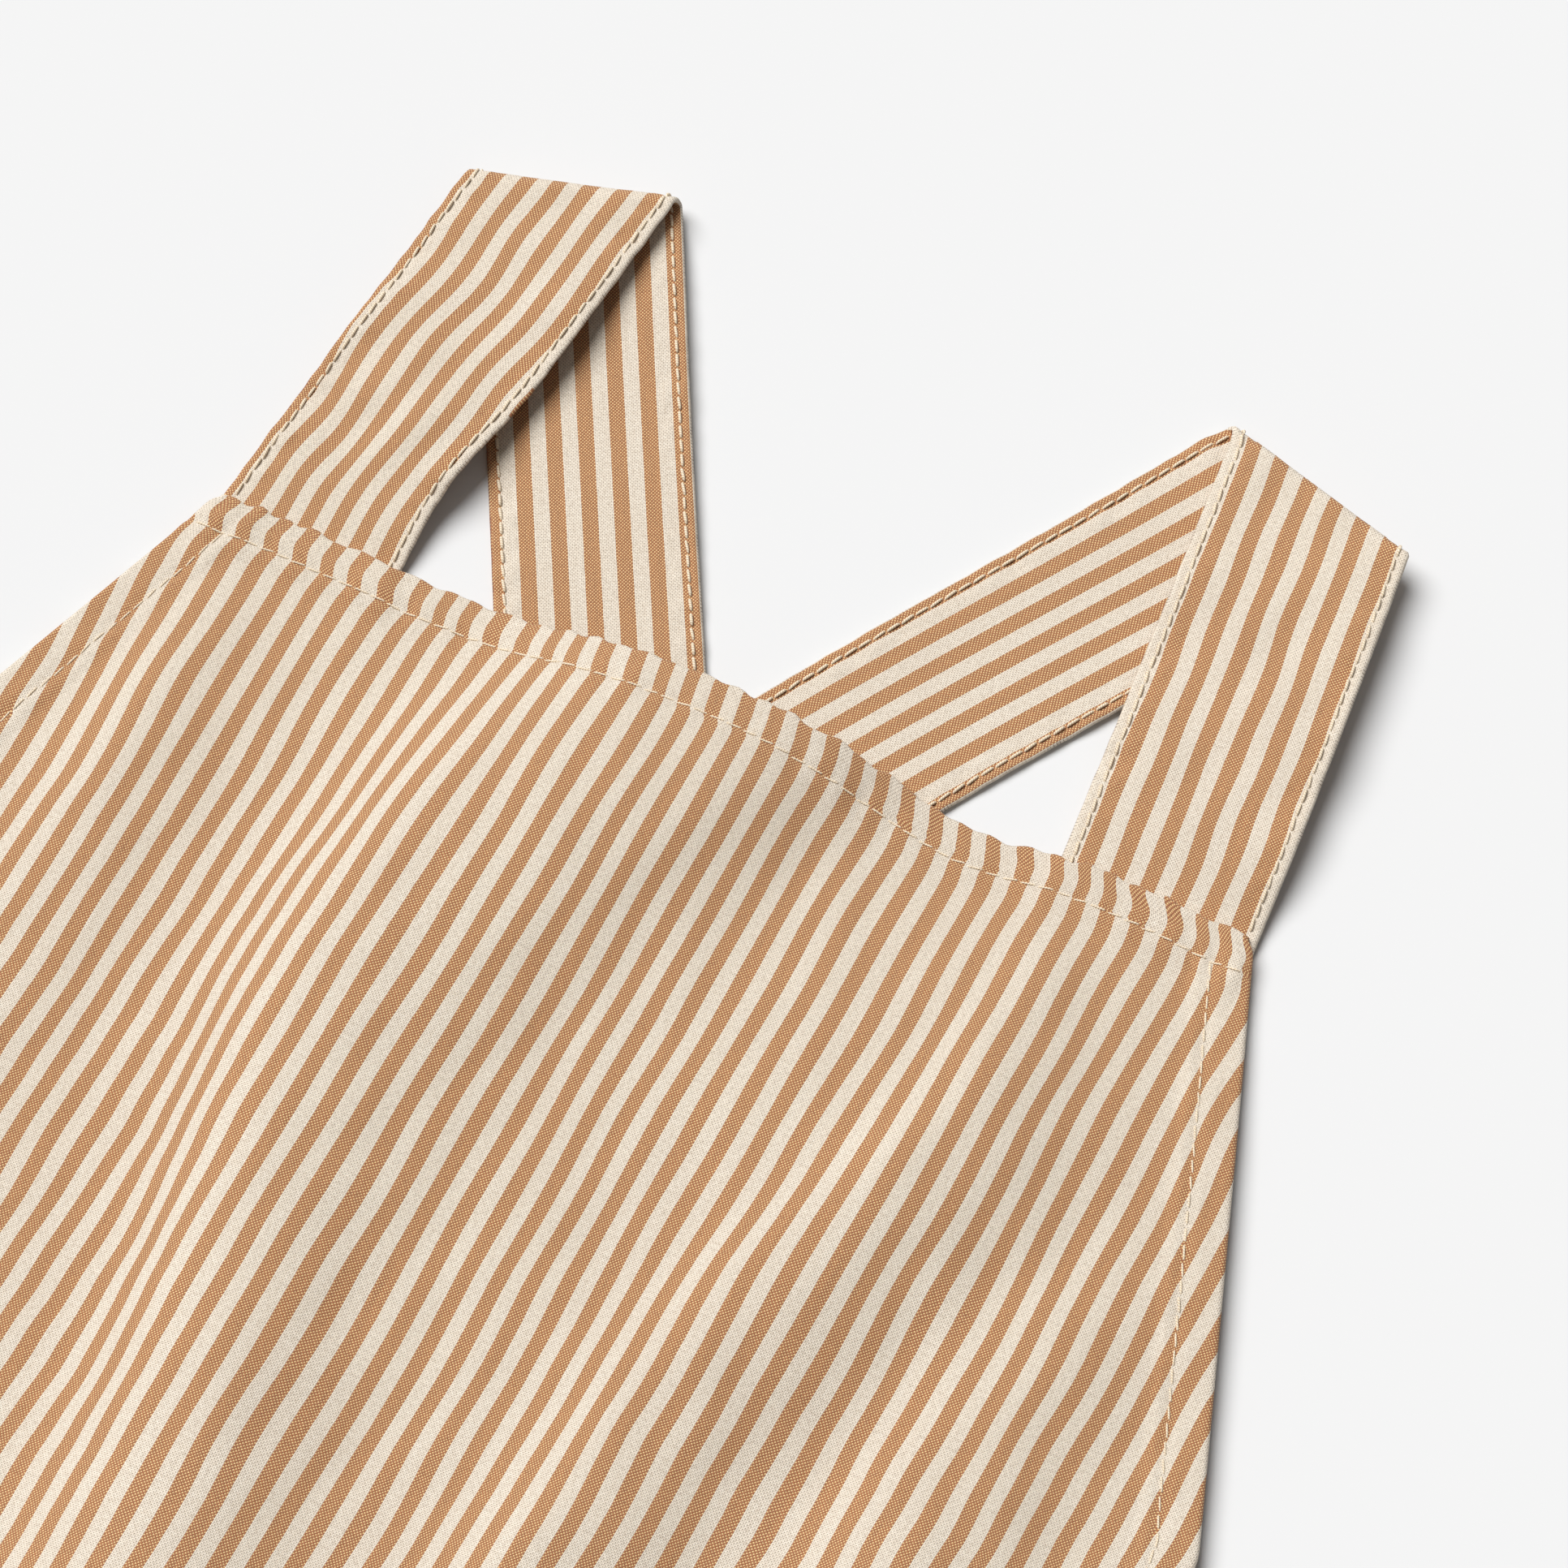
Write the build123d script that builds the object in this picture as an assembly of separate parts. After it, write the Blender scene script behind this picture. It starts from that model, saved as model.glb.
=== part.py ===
from build123d import *
from math import atan2, cos, degrees, radians, sin
import os

# A child's cross-back apron of striped cotton, lying flat with its front up. The sides of the skirt
# are folded behind the front, and the straps cross behind the bib, so the whole garment is a low stack
# of cloth. Lengths are in millimetres: X across the apron, Y up its length, Z up. Everything is laid
# out from the middle of the bib's top edge, and then moved so that the origin is the middle of the footprint.

# ---- driving dimensions: outline ----
bib_half_width = 111.8        # half of the bib's top edge
bib_corner = 3.0              # rounding of the bib's corners
armhole_end = (152.0, -117.0)   # where the straight of the armhole ends
underarm = (178.0, -168.0)    # where the armhole meets the side fold
underarm_rise = 6.0           # how far the armhole's lower stretch bows below its chord
side_foot = (232.0, -512.0)   # where the side fold meets the bottom hem
hem_drop = 10.0               # how far the bottom hem curves down to its middle
back_edge_top = 66.0          # the back panels' free edge, from the middle, at its top
back_edge_foot = 58.0         # and at its foot
back_corner_y = -200.0        # height of the back panels' top corners
back_top_middle = (128.0, -193.0)   # where the back panels' curved top edge passes
side_fold_width = 3.0

# ---- driving dimensions: layers, from the floor up ----
cloth = 0.6                   # one layer, pressed
turning = 1.0                 # the two extra layers of a double-turned hem
front_level = 4.1             # underside of the front panel
bib_crest = 11.0              # highest line of the front, over the crossing straps
crown_half_width = 106.0      # half of the width over which the front is raised
strap_thickness = 1.0
thread = 0.3                  # how far stitching stands off the cloth
thread_width = 0.6

# ---- driving dimensions: hems, straps ----
hem_depth = 11.0
bottom_hem_depth = 20.0
hem_stitch_inset = 8.0
bottom_stitch_inset = 17.0
strap_width = 41.0
strap_root_x = 91.5           # middle of a strap where it leaves the bib
strap_root_depth = 10.0       # how much of the strap is sewn under the top hem
shoulder = (83.0, 98.0)       # middle of the fold at the top of a strap's loop
cross_angle = 29.5            # a strap's slant behind the bib, from the apron's length
strap_foot_y = -216.0         # where the strap ends on the back panel
edge_stitch_inset = 2.6
hinge_gap = 1.5               # bare stretch beside the bib's edge, where the strap bends
fold_depth = 4.0              # the rolled fold's reach, across the fold
loop_height = 8.0             # top of the strap's front run where it reaches the fold
crossing_step = 1.3           # how far one strap rises to pass over the other
crossing_half = 37.0          # half of the raised stretch
crossing_ramp = 10.0

front_top = front_level + cloth
strap_level = cloth           # underside of the straps behind the bib, on the back panels
root_level = front_level - turning - strap_thickness
footprint_foot = side_foot[1] - hem_drop
far = 900.0                   # larger than the apron, for cutting tools


def unit(x, y):
    """The vector scaled to length one."""
    length = (x * x + y * y) ** 0.5
    return x / length, y / length


def along(point, direction, distance):
    """The point moved along a direction."""
    return point[0] + direction[0] * distance, point[1] + direction[1] * distance


def down_to(point, direction, y):
    """The point moved along a direction until it reaches the height y."""
    return along(point, direction, (y - point[1]) / direction[1])


def block(x0, x1, y0, y1, z0, z1):
    """A box from its low and high corners."""
    return Pos((x0 + x1) / 2, (y0 + y1) / 2, (z0 + z1) / 2) * Box(x1 - x0, y1 - y0, z1 - z0)


def raised(face, z0, z1):
    """A flat outline made into a slab between two heights."""
    return Pos(0, 0, z0) * extrude(face, z1 - z0, dir=(0, 0, 1))


def polygon(*points):
    """A straight-sided outline."""
    return make_face(Polyline(*points, close=True))


def strip(start, end, width):
    """A thin rectangle from one point to another."""
    dx, dy = unit(end[0] - start[0], end[1] - start[1])
    side = (-dy, dx)
    half = width / 2
    return polygon(along(start, side, half), along(end, side, half), along(end, side, -half), along(start, side, -half))


def crown_arc(z):
    """The front's raised middle, seen from its foot, a given height above the cloth's top."""
    return ThreePointArc((-crown_half_width, front_top + z), (0, bib_crest + z), (crown_half_width, front_top + z))


def lengthwise(profile):
    """A profile across the apron, run along its whole length."""
    return Plane.XZ * Pos(0, 0, -far) * extrude(profile, 2 * far)


def arch_shell(z_extra, thickness):
    """The front's top surface as a sheet: arched over the straps and flat beyond."""
    low, high = front_top + z_extra, front_top + z_extra + thickness
    under = Polyline((-crown_half_width, low), (-far, low), (-far, high), (-crown_half_width, high))
    over = Polyline((crown_half_width, high), (far, high), (far, low), (crown_half_width, low))
    return lengthwise(make_face([crown_arc(z_extra), over, crown_arc(z_extra + thickness), under]))


def crown_space():
    """The space between the front panel's flat top and the crown."""
    chord = Line((-crown_half_width, front_top), (crown_half_width, front_top))
    return lengthwise(make_face([crown_arc(0), chord]))


def underarm_curve(way):
    """The lower, curved stretch of an armhole on the front, from its straight to the side fold."""
    middle = ((armhole_end[0] + underarm[0]) / 2, (armhole_end[1] + underarm[1]) / 2)
    dx, dy = unit(underarm[0] - armhole_end[0], underarm[1] - armhole_end[1])
    bow = along(middle, (dy, -dx), underarm_rise)
    points = [(way * x, y) for x, y in (armhole_end, bow, underarm)]
    return ThreePointArc(*points)


def front_outline_face():
    """The front panel, seen flat."""
    edges = [Line((-bib_half_width, 0), (bib_half_width, 0))]
    for way in (-1, 1):
        edges.append(Line((way * bib_half_width, 0), (way * armhole_end[0], armhole_end[1])))
        edges.append(underarm_curve(way))
        edges.append(Line((way * underarm[0], underarm[1]), (way * side_foot[0], side_foot[1])))
    edges.append(ThreePointArc((-side_foot[0], side_foot[1]), (0, side_foot[1] - hem_drop), side_foot))
    face = make_face(edges)
    corners = [face.vertices().sort_by_distance((way * bib_half_width, 0, 0))[0] for way in (-1, 1)]
    return fillet(corners, bib_corner)


def right_back_region():
    """Everything that the right back panel's top and free edge cut from the skirt's outline."""
    top = ThreePointArc((back_edge_top, back_corner_y), back_top_middle, underarm)
    return make_face([top, *Polyline(
        underarm, (far, underarm[1]), (far, -far), (back_edge_foot, -far), (back_edge_foot, footprint_foot - 1),
        (back_edge_top, back_corner_y),
    ).edges()])


def band(outline, shift, region):
    """The strip of an outline along the edge that the shift moves inwards, within a region."""
    inner = Pos(shift[0], shift[1], 0) * outline
    return (outline - inner) & region


def thin_band(outline, direction, inset, region):
    """A thread's width of the outline, an inset away from its edge."""
    near = Pos(direction[0] * (inset - thread_width / 2), direction[1] * (inset - thread_width / 2), 0) * outline
    distant = Pos(direction[0] * (inset + thread_width / 2), direction[1] * (inset + thread_width / 2), 0) * outline
    return (near - distant) & outline & region


def area(x0, x1, y0, y1):
    """A flat rectangle."""
    return polygon((x0, y0), (x1, y0), (x1, y1), (x0, y1))


# ---- flat outlines ----
front_outline = front_outline_face()
back_outline = front_outline & right_back_region()
armhole_lean = unit(armhole_end[0] - bib_half_width, armhole_end[1])
armhole_inward = (armhole_lean[1], -armhole_lean[0])
side_lean = unit(side_foot[0] - underarm[0], side_foot[1] - underarm[1])
side_inward = (side_lean[1], -side_lean[0])

side_top = along(underarm, side_lean, -10)
side_end = along(side_foot, side_lean, 20)
side_cut = polygon(
    along(side_top, side_inward, -10), along(side_end, side_inward, -10),
    along(side_end, side_inward, side_fold_width), along(side_top, side_inward, side_fold_width),
)
both_side_cuts = side_cut + mirror(side_cut, about=Plane.YZ)
front_cloth = front_outline - both_side_cuts
back_cloth = back_outline - side_cut

# ---- the strap's path, for the right-hand loop ----
run_up = unit(shoulder[0] - strap_root_x, shoulder[1])
run_down = (-sin(radians(cross_angle)), -cos(radians(cross_angle)))
fold_line = unit(run_up[0] + run_down[0], run_up[1] + run_down[1])
fold_sine = abs(run_up[0] * fold_line[1] - run_up[1] * fold_line[0])
fold_inner = along(shoulder, fold_line, strap_width / 2 / fold_sine)
fold_outer = along(shoulder, fold_line, -strap_width / 2 / fold_sine)
fold_inward = (-fold_line[1], fold_line[0])
fold_run = fold_depth / fold_sine
footprint_top = fold_inner[1]
shift_y = -(footprint_top + footprint_foot) / 2


def strap_front_plan():
    """The strap's front run, from the bib's edge to the fold."""
    return polygon(
        down_to(fold_inner, run_up, hinge_gap), down_to(fold_outer, run_up, hinge_gap),
        along(fold_outer, run_up, -fold_run), along(fold_inner, run_up, -fold_run),
    )


def strap_return_plan():
    """The strap's run back down, from the fold to the bib's edge."""
    return polygon(
        along(fold_inner, run_down, fold_run), along(fold_outer, run_down, fold_run),
        down_to(fold_outer, run_down, hinge_gap), down_to(fold_inner, run_down, hinge_gap),
    )


def front_run_solid(plan, lift, thickness):
    """A plan raised into a slab that slopes up from the bib's edge to the fold."""
    top_y = footprint_top
    slope = polygon(
        (hinge_gap, root_level + lift), (top_y, loop_height - strap_thickness + lift),
        (top_y, loop_height - strap_thickness + lift + thickness), (hinge_gap, root_level + lift + thickness),
    )
    prism = Plane.YZ * Pos(0, 0, -far) * extrude(slope, 2 * far)
    return prism & raised(plan, -far, far)


def fold_solid():
    """The rolled fold that joins the strap's two runs."""
    plan = polygon(
        fold_inner, fold_outer, along(fold_outer, fold_inward, fold_depth), along(fold_inner, fold_inward, fold_depth)
    )
    body = raised(plan, 0, loop_height)
    outer_edges = [
        edge for edge in body.edges().filter_by(Plane.XY)
        if edge.length > strap_width / 2 and (edge @ 0.5).Y > shoulder[1] - fold_depth / 2
    ]
    return fillet(outer_edges, fold_depth - 1)


def edge_stitches(plan_start, plan_end):
    """Two lines of topstitching, one along each edge of a strap's run."""
    start = ((plan_start[0][0] + plan_start[1][0]) / 2, (plan_start[0][1] + plan_start[1][1]) / 2)
    end = ((plan_end[0][0] + plan_end[1][0]) / 2, (plan_end[0][1] + plan_end[1][1]) / 2)
    heading = unit(end[0] - start[0], end[1] - start[1])
    side = (-heading[1], heading[0])
    reach = strap_width / 2 - edge_stitch_inset
    lines = [strip(along(start, side, way * reach), along(end, side, way * reach), thread_width) for way in (-1, 1)]
    return lines


def strap_back_solid(rise):
    """The strap behind the bib, from the bib's edge to the opposite back panel, with an optional rise."""
    heading_angle = degrees(atan2(run_down[1], run_down[0]))
    crossing_s = -shoulder[0] / run_down[0]
    foot_s = (strap_foot_y - shoulder[1]) / run_down[1]
    start_s = -shoulder[1] / run_down[1] - strap_width
    hump = [
        (crossing_s - crossing_half - crossing_ramp, 0), (crossing_s - crossing_half, rise),
        (crossing_s + crossing_half, rise), (crossing_s + crossing_half + crossing_ramp, 0),
    ]
    underside = [(start_s, 0), *(hump if rise else []), (foot_s, 0)]
    topside = [(s, z + strap_thickness) for s, z in reversed(underside)]
    profile = polygon(*underside, *topside)
    ribbon = Plane.XZ * Pos(0, 0, -strap_width / 2) * extrude(profile, strap_width)
    placed = Pos(shoulder[0], shoulder[1], strap_level) * Rot(0, 0, heading_angle) * ribbon
    return placed & block(-far, far, -far, -0.2, -1, far)


def strap_root_solid():
    """The strap's first end, sewn under the top hem."""
    plan = polygon(
        down_to(fold_inner, run_up, -0.2), down_to(fold_outer, run_up, -0.2),
        down_to(fold_outer, run_up, -strap_root_depth), down_to(fold_inner, run_up, -strap_root_depth),
    )
    return raised(plan, root_level, root_level + strap_thickness)


def strap_foot_stitches():
    """The crossed box of stitching that fastens the strap's other end to the back panel."""
    foot = down_to(shoulder, run_down, strap_foot_y)
    heading = run_down
    side = (-heading[1], heading[0])
    reach = strap_width / 2 - 4
    low = along(foot, heading, -4)
    high = along(foot, heading, -22)
    a, b = along(low, side, reach), along(low, side, -reach)
    c, d = along(high, side, -reach), along(high, side, reach)
    lines = strip(a, b, thread_width)
    for start, end in ((b, c), (c, d), (d, a), (a, c), (b, d)):
        lines = lines + strip(start, end, thread_width)
    return raised(lines, strap_level + strap_thickness, strap_level + strap_thickness + thread)


# ---- pieces of the apron itself ----
parts = {}
top_sheet = arch_shell(0, thread)
crown = raised(front_cloth, 0, far) & crown_space()
parts["front_panel"] = raised(front_cloth, front_level, front_top) + crown

hem_low = front_level - turning
parts["top_hem"] = raised(
    band(front_outline, (0, -hem_depth), area(-far, far, -hem_depth, far)), hem_low, front_level
)
armhole_region = polygon((60, -hem_depth), (far, -hem_depth), (far, underarm[1] + 4), (60, underarm[1] + 4))
armhole_band = band(
    front_outline, (armhole_inward[0] * hem_depth, armhole_inward[1] * hem_depth), armhole_region
) - side_cut
foot_region = area(-far, far, -far, side_foot[1] + bottom_hem_depth + 1)
foot_band = band(front_outline, (0, bottom_hem_depth), foot_region) - both_side_cuts
parts["bottom_hem"] = raised(foot_band, hem_low, front_level)
parts["top_hem_stitching"] = raised(
    strip(
        (-bib_half_width - 1, -hem_stitch_inset), (bib_half_width + 1, -hem_stitch_inset), thread_width
    ), 0, far
) & top_sheet
parts["bottom_hem_stitching"] = raised(
    thin_band(front_outline, (0, 1), bottom_stitch_inset, foot_region) - both_side_cuts, 0, far
) & top_sheet

# ---- pieces made for the right side, and mirrored for the left ----
side_parts = {}
side_parts["armhole_hem"] = raised(armhole_band, hem_low, front_level)
side_parts["armhole_stitching"] = raised(
    thin_band(front_outline, armhole_inward, hem_stitch_inset, armhole_region) - side_cut, 0, far
) & top_sheet
side_parts["side_fold"] = raised(front_outline & side_cut, 0, front_top)
side_parts["back_panel"] = raised(back_cloth, 0, cloth)
back_foot_band = band(back_outline, (0, bottom_hem_depth), area(0, far, -far, side_foot[1] + bottom_hem_depth + 1))
side_parts["back_bottom_hem"] = raised(back_foot_band - side_cut, cloth, cloth + turning)
back_edge_region = area(0, 100, side_foot[1] + bottom_hem_depth, strap_foot_y - strap_width / 2)
back_edge_band = band(back_outline, (hem_depth, 0), back_edge_region) - back_foot_band
side_parts["back_edge_hem"] = raised(back_edge_band, cloth, cloth + turning)
side_parts["back_edge_stitching"] = raised(
    thin_band(back_outline, (1, 0), hem_stitch_inset, back_edge_region) - back_foot_band,
    cloth + turning, cloth + turning + thread,
)
strap_middle = down_to(shoulder, run_down, back_corner_y)
strap_shadow = strip(along(strap_middle, run_down, -70), along(strap_middle, run_down, 70), strap_width + 0.8)
back_top_band = band(back_outline, (0, -hem_depth), area(70, far, -far, far)) - side_cut
back_top_band = back_top_band - mirror(strap_shadow, about=Plane.YZ)
side_parts["back_top_hem"] = raised(back_top_band, cloth, cloth + turning)
side_parts["strap_root"] = strap_root_solid()

# ---- the strap loops, which swing about the bib's top edge ----
side_parts["strap_front"] = front_run_solid(strap_front_plan(), 0, strap_thickness)
side_parts["strap_return"] = raised(strap_return_plan(), 0, strap_thickness)
side_parts["shoulder_fold"] = fold_solid()
front_lines = edge_stitches(
    (down_to(fold_inner, run_up, hinge_gap), down_to(fold_outer, run_up, hinge_gap)),
    (along(fold_inner, run_up, -fold_run - 1), along(fold_outer, run_up, -fold_run - 1)),
)
side_parts["strap_front_stitching"] = front_run_solid(
    (front_lines[0] + front_lines[1]) & strap_front_plan(), strap_thickness, thread
)
return_lines = edge_stitches(
    (down_to(fold_inner, run_down, hinge_gap), down_to(fold_outer, run_down, hinge_gap)),
    (along(fold_inner, run_down, fold_run + 1), along(fold_outer, run_down, fold_run + 1)),
)
side_parts["strap_return_stitching"] = raised(
    (return_lines[0] + return_lines[1]) & strap_return_plan(), strap_thickness, strap_thickness + thread
)

for name, solid in side_parts.items():
    parts["right_" + name] = solid
    parts["left_" + name] = mirror(solid, about=Plane.YZ)

# The straps cross, so each ends on the other side's back panel, and the right one passes over the left.
parts["right_strap_back"] = strap_back_solid(crossing_step)
parts["left_strap_back"] = mirror(strap_back_solid(0), about=Plane.YZ)
parts["right_strap_tack"] = strap_foot_stitches()
parts["left_strap_tack"] = mirror(strap_foot_stitches(), about=Plane.YZ)

os.makedirs("parts", exist_ok=True)
for name, solid in parts.items():
    export_step(Pos(0, shift_y, 0) * solid, f"parts/{name}.step")
print(len(parts), "nodes; the bib's top edge is at Y", round(shift_y, 3))
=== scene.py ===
"""The looks of a child's cross-back apron of striped cotton, lying flat with its front up.

Shapes are worked out in millimetres from the middle of the bib's top edge: u across the apron, v up its
length, z up from the floor. Meshes are written in metres in the CAD frame.
"""
import math

import bpy
import numpy as np
from mathutils import Matrix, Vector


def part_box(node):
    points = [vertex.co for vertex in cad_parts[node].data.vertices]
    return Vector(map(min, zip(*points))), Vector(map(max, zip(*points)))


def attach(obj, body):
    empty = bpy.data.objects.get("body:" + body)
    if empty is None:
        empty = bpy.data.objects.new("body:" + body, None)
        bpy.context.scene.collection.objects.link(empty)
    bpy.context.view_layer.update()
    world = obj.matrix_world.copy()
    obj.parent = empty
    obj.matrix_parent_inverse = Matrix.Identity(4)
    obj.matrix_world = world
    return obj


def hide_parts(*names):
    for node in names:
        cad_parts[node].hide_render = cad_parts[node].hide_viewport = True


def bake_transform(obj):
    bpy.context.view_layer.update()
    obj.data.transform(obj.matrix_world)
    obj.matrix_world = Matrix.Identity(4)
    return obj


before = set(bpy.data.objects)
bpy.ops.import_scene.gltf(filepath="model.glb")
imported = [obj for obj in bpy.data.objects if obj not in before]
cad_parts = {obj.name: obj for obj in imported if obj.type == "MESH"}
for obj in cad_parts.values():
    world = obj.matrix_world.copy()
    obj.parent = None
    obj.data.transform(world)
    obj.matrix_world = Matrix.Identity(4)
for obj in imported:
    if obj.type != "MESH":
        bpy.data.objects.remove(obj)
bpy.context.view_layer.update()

MM = 0.001
BIB_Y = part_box("front_panel")[1][1]          # the bib's top edge, in the CAD frame

# ---- the cloth ----
PITCH = 6.35                 # one brown and one cream stripe
CLOTH = 0.45                 # thickness of one layer
STRAP_THICK = 1.25
THREAD_RADIUS = 0.21

# ---- outline, as in the CAD ----
BIB_HALF = 111.8
ARMHOLE_END = (152.0, -117.0)
UNDERARM = (178.0, -168.0)
UNDERARM_RISE = 6.0
SIDE_FOOT = (232.0, -512.0)
HEM_DROP = 10.0
BACK_EDGE_TOP = 66.0
BACK_EDGE_FOOT = 58.0
BACK_CORNER_V = -200.0
BACK_TOP_MIDDLE = (128.0, -193.0)

# ---- hems ----
FOLD_RADIUS = 0.8            # of the cloth's middle where a hem turns under
HEM_STITCH = 7.8             # stitch line, from the edge
HEM_DEPTH = 10.5
BOTTOM_STITCH = 17.0
BOTTOM_DEPTH = 20.0
STITCH_LENGTH = 3.5

# ---- straps, as in the CAD ----
STRAP_WIDTH = 41.0
STRAP_ROOT_U = 91.5
SHOULDER = (83.0, 98.0)
CROSS_ANGLE = math.radians(29.5)
STRAP_FOOT_V = -216.0
STRAP_START_V = -9.0
STRAP_STITCH = 2.3           # stitch lines, from the strap's edges
BACK_HEM_THICK = 0.9


# =====================================================================================
# small tools
# =====================================================================================

def ease(x):
    """0 to 1, smoothly, as x goes from 0 to 1."""
    x = np.clip(x, 0.0, 1.0)
    return x * x * (3 - 2 * x)


def bell(x):
    """A bump of height 1 and half width about 1."""
    return np.exp(-x * x)


def curve_through(x, stations):
    """Smooth interpolation through (x, value) stations, flat beyond the ends."""
    xs, ys = np.array(stations, float).T
    if xs[0] > xs[-1]:
        xs, ys = xs[::-1], ys[::-1]
    slope = np.gradient(ys, xs)
    slope[0] = slope[-1] = 0.0
    x = np.clip(x, xs[0], xs[-1])
    i = np.clip(np.searchsorted(xs, x) - 1, 0, len(xs) - 2)
    step = xs[i + 1] - xs[i]
    t = (x - xs[i]) / step
    a, b = ys[i], ys[i + 1]
    ma, mb = slope[i] * step, slope[i + 1] * step
    return (
        (2 * t**3 - 3 * t**2 + 1) * a + (t**3 - 2 * t**2 + t) * ma
        + (-2 * t**3 + 3 * t**2) * b + (t**3 - t**2) * mb
    )


def ripples(x, y, size, seed, stretch=1.0, count=9):
    """Smooth, repeatable unevenness of about unit height: waves of several directions, about size long."""
    rng = np.random.default_rng(seed)
    total = np.zeros(np.broadcast(x, y).shape)
    for _ in range(count):
        angle = rng.uniform(0, 2 * math.pi)
        k = 2 * math.pi / (size * rng.uniform(0.7, 1.5))
        distance = x * math.cos(angle) + y / stretch * math.sin(angle)
        total += np.sin(k * distance + rng.uniform(0, 2 * math.pi))
    return total * math.sqrt(2 / count)


def stack(*arrays):
    """Arrays as points."""
    return np.stack(np.broadcast_arrays(*arrays), axis=-1).astype(float)


def unit(vectors):
    """Vectors scaled to length one."""
    return vectors / np.maximum(np.linalg.norm(vectors, axis=-1, keepdims=True), 1e-9)


def grid_normals(points):
    """Normals of a grid of points, by differences along its rows and columns."""
    along = np.gradient(points, axis=0)
    across = np.gradient(points, axis=1)
    return unit(np.cross(across, along))


def to_frame(points):
    """Millimetres from the bib's edge to metres in the CAD frame."""
    out = np.asarray(points, float) * MM
    out[..., 1] += BIB_Y
    return out


def make_object(name, points, faces, material, corner_uv=None):
    """A smooth-shaded mesh object from points in millimetres."""
    mesh = bpy.data.meshes.new(name)
    points = to_frame(points)
    faces = np.asarray(faces, np.int32)
    sides = faces.shape[1]
    mesh.vertices.add(len(points))
    mesh.vertices.foreach_set("co", points.ravel())
    mesh.loops.add(faces.size)
    mesh.loops.foreach_set("vertex_index", faces.ravel())
    mesh.polygons.add(len(faces))
    mesh.polygons.foreach_set("loop_start", np.arange(0, faces.size, sides, dtype=np.int32))
    mesh.update(calc_edges=True)
    mesh.polygons.foreach_set("use_smooth", np.ones(len(faces), bool))
    if corner_uv is not None:
        layer = mesh.uv_layers.new(name="flat_cut")
        layer.data.foreach_set("uv", np.asarray(corner_uv, float).ravel())
    mesh.validate()
    mesh.materials.append(material)
    piece = bpy.data.objects.new(name, mesh)
    bpy.context.collection.objects.link(piece)
    return piece


def quads(rows, columns):
    """Faces of a grid of points that are numbered row by row."""
    i = np.arange(rows - 1)[:, None] * columns + np.arange(columns - 1)[None, :]
    return np.stack([i, i + 1, i + 1 + columns, i + columns], axis=-1).reshape(-1, 4)


def cloth(name, middle, cut, thickness, material, cut_under=None):
    """A layer of cloth with rounded edges around a grid of middle points (rows, columns, 3).
    cut holds each point's place in the flat cut, in millimetres, and cut_under that of the underside."""
    rows, columns = middle.shape[:2]
    normal = grid_normals(middle)
    if normal[rows // 2, columns // 2, 2] < 0:
        normal = -normal
    half = thickness / 2 * np.ones((rows, columns, 1))
    over = middle + normal * half
    under = middle - normal * half
    cut_under = cut if cut_under is None else cut_under
    ring = np.concatenate([
        np.arange(columns), np.arange(1, rows) * columns + columns - 1,
        (rows - 1) * columns + np.arange(columns - 2, -1, -1), np.arange(rows - 2, 0, -1) * columns,
    ])
    flat_mid = middle.reshape(-1, 3)
    inward = np.empty_like(middle)
    inward[0], inward[-1] = middle[1] - middle[0], middle[-2] - middle[-1]
    inward[:, 0], inward[:, -1] = middle[:, 1] - middle[:, 0], middle[:, -2] - middle[:, -1]
    rim = flat_mid[ring] - unit(inward.reshape(-1, 3)[ring]) * half.reshape(-1, 1)[ring] * 0.8
    n = rows * columns
    points = np.concatenate([over.reshape(-1, 3), under.reshape(-1, 3), rim])
    top_faces = quads(rows, columns)
    low_faces = top_faces[:, ::-1] + n
    here = np.arange(len(ring))
    there = np.roll(here, -1)
    wall_a = np.stack([ring[here], 2 * n + here, 2 * n + there, ring[there]], axis=-1)
    wall_b = np.stack([2 * n + here, ring[here] + n, ring[there] + n, 2 * n + there], axis=-1)
    cut_over = cut.reshape(-1, 2)
    cut_low = cut_under.reshape(-1, 2)
    edge = cut_over[ring]
    uv = np.concatenate([
        cut_over[top_faces].reshape(-1, 2),
        cut_low[low_faces - n].reshape(-1, 2),
        np.stack([edge[here], edge[here], edge[there], edge[there]], axis=1).reshape(-1, 2),
        np.stack([edge[here], edge[here], edge[there], edge[there]], axis=1).reshape(-1, 2),
    ])
    faces = np.concatenate([top_faces, low_faces, wall_a, wall_b])
    first = top_faces[0]
    a, b, c = points[first[0]], points[first[1]], points[first[2]]
    if np.dot(np.cross(b - a, c - b), normal[0, 0]) < 0:
        faces = faces[:, ::-1]
        uv = uv.reshape(-1, 4, 2)[:, ::-1].reshape(-1, 2)
    return make_object(name, points, faces, material, uv)


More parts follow.
